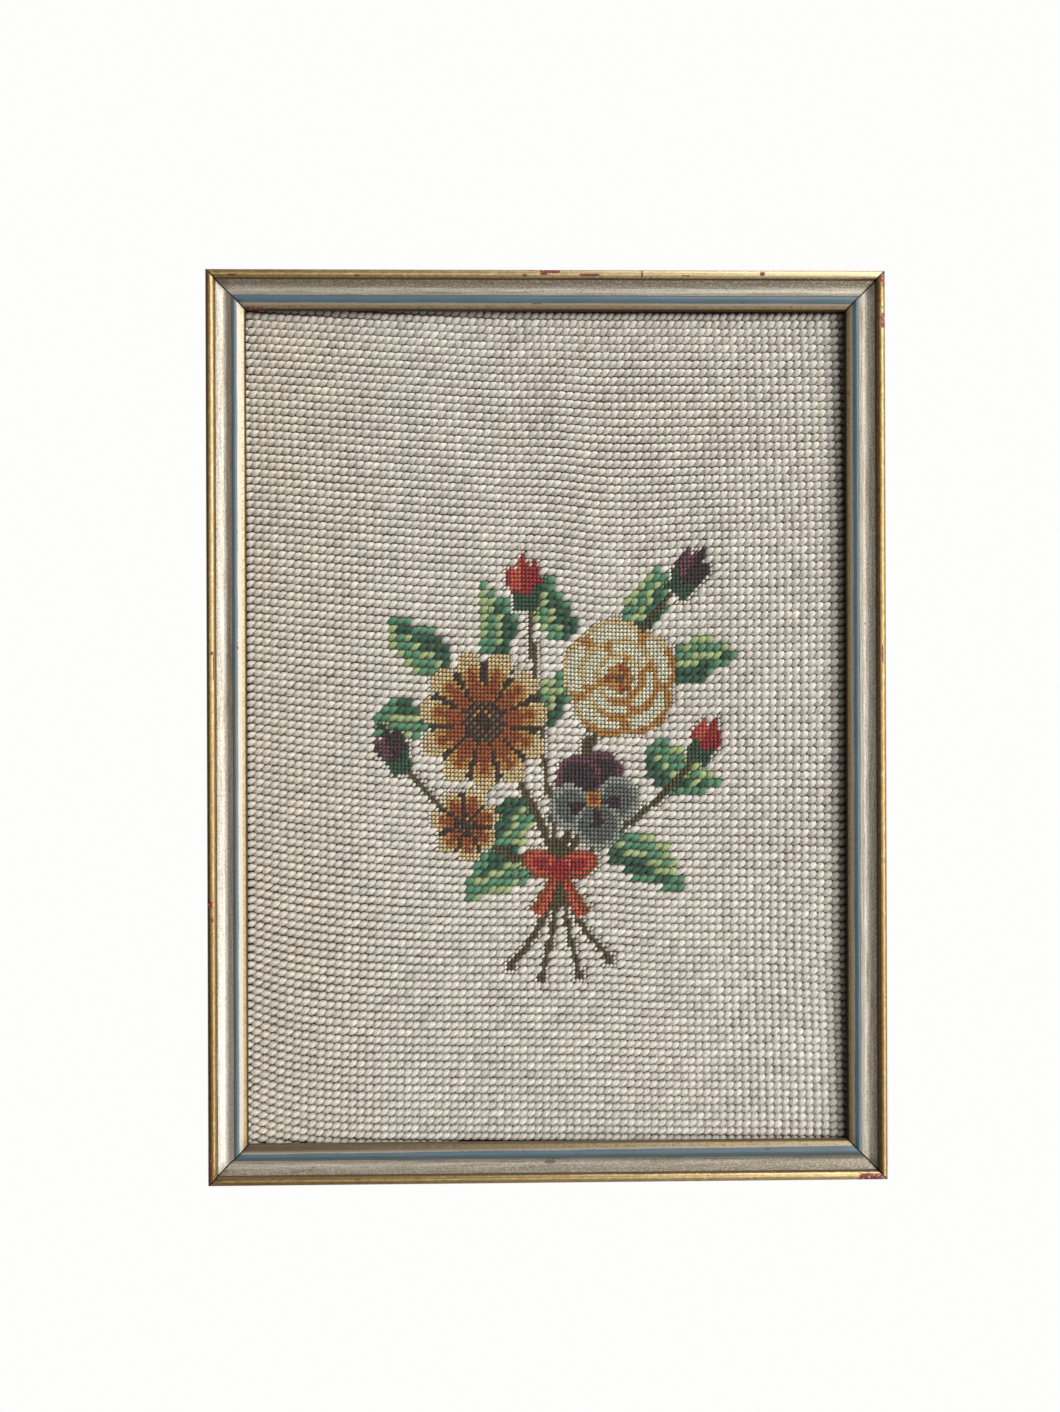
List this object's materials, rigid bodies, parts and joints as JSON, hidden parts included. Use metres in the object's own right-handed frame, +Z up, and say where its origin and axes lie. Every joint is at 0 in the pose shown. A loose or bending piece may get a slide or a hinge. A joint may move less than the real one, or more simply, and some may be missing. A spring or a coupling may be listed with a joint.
{
  "type": "framed needlepoint picture with its moulding frame",
  "caption": "Upright needlepoint picture, wool tent stitch on canvas, held behind the narrow sight edge of a slim gilt, silvered and blue moulding frame; hangs flat on a wall.",
  "frame": {"origin": "middle of the top rail's flat back, where the frame lies against the wall", "axes": "+Z up the picture, -Y out of its face, +Y into the wall, +X to the viewer's right"},
  "size_m": [0.216, 0.015, 0.29],
  "materials": {
    "painted_moulding": "silvered hollow, dusty blue crest, gilt bead and sight edge, worn at the corners",
    "wool_stitching": "matt cream wool tent stitch",
    "millboard": "plain brown board"
  },
  "bodies": {
    "root": {"rail_top": "painted_moulding", "rail_right": "painted_moulding", "rail_bottom": "painted_moulding", "rail_left": "painted_moulding", "needlepoint": "wool_stitching", "backing_board": "millboard"}
  },
  "joints": []
}
